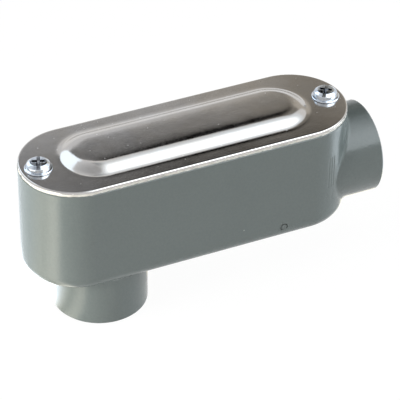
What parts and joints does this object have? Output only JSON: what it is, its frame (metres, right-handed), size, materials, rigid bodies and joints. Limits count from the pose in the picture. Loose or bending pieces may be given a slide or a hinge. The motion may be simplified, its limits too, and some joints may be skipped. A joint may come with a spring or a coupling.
{
  "type": "conduit body",
  "caption": "Obround cast wiring box with threaded hubs in its back and end, closed by a stamped steel cover on a gasket.",
  "frame": {"origin": "centre of the back hub's mouth, on the hub's axis", "axes": "+X along the box and out of the end hub, +Z out of the cover, so the back hub opens along -Z"},
  "size_m": [0.1327, 0.0398, 0.0652],
  "materials": {
    "cast_body": "satin",
    "gasket": "matte",
    "cover_sheet": "satin",
    "screw": "satin"
  },
  "bodies": {
    "root": {"body_casting": "cast_body", "cover_gasket": "gasket", "cover": "cover_sheet", "cover_screw_closed_end": "screw", "cover_screw_hub_end": "screw"}
  },
  "joints": []
}
